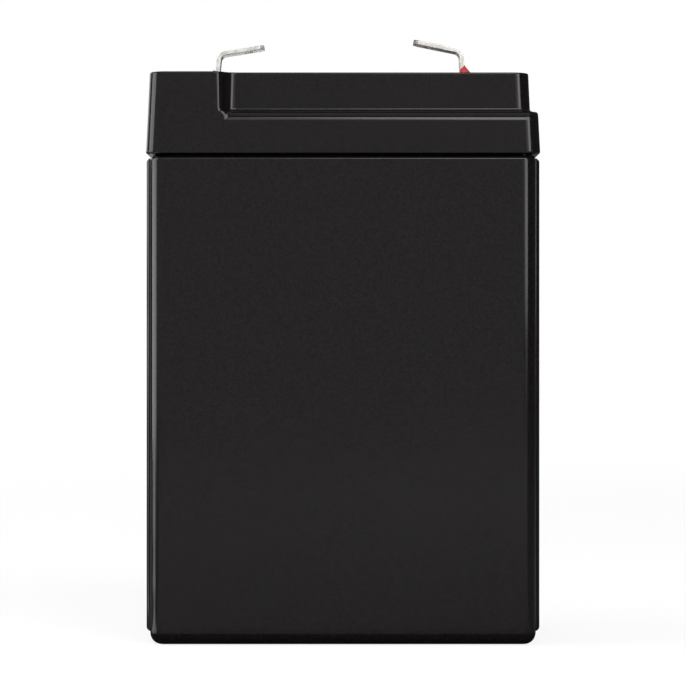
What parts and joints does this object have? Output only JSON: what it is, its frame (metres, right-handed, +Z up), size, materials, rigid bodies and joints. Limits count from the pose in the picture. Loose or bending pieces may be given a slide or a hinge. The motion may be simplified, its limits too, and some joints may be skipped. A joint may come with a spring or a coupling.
{
  "type": "sealed lead-acid battery",
  "caption": "Small upright sealed lead-acid battery: plain black moulded case, two-tier lid with a recessed edge, and bent blade terminals set in resin.",
  "frame": {"origin": "middle of the container's flat foot", "axes": "+Z up the case to the terminals; X along the case's long side, with the positive terminal at +X; the front is the -Y side"},
  "size_m": [0.07, 0.047, 0.1088],
  "materials": {
    "case_plastic": "black moulded ABS, satin with a fine grain",
    "cap_rubber": "black rubber, dull",
    "tinned_brass": "tin plated, bright with fine scratches",
    "red_resin": "red potting resin, glossy",
    "dark_resin": "dark potting resin, glossy",
    "lead": "grey spongy lead, dull",
    "lead_oxide": "brown lead dioxide paste, matt",
    "glass_mat": "white absorbent glass mat"
  },
  "bodies": {
    "root": {"container": "case_plastic", "lid": "case_plastic", "vent_cover": "case_plastic", "valve_cap_1": "cap_rubber", "valve_cap_2": "cap_rubber", "valve_cap_3": "cap_rubber", "terminal_negative": "tinned_brass", "terminal_positive": "tinned_brass", "resin_negative": "dark_resin", "resin_positive": "red_resin", "negative_plates_1": "lead", "negative_plates_2": "lead", "negative_plates_3": "lead", "positive_plates_1": "lead_oxide", "positive_plates_2": "lead_oxide", "positive_plates_3": "lead_oxide", "separator_1_1": "glass_mat", "separator_1_2": "glass_mat", "separator_1_3": "glass_mat", "separator_2_1": "glass_mat", "separator_2_2": "glass_mat", "separator_2_3": "glass_mat", "separator_3_1": "glass_mat", "separator_3_2": "glass_mat", "separator_3_3": "glass_mat"}
  },
  "joints": []
}
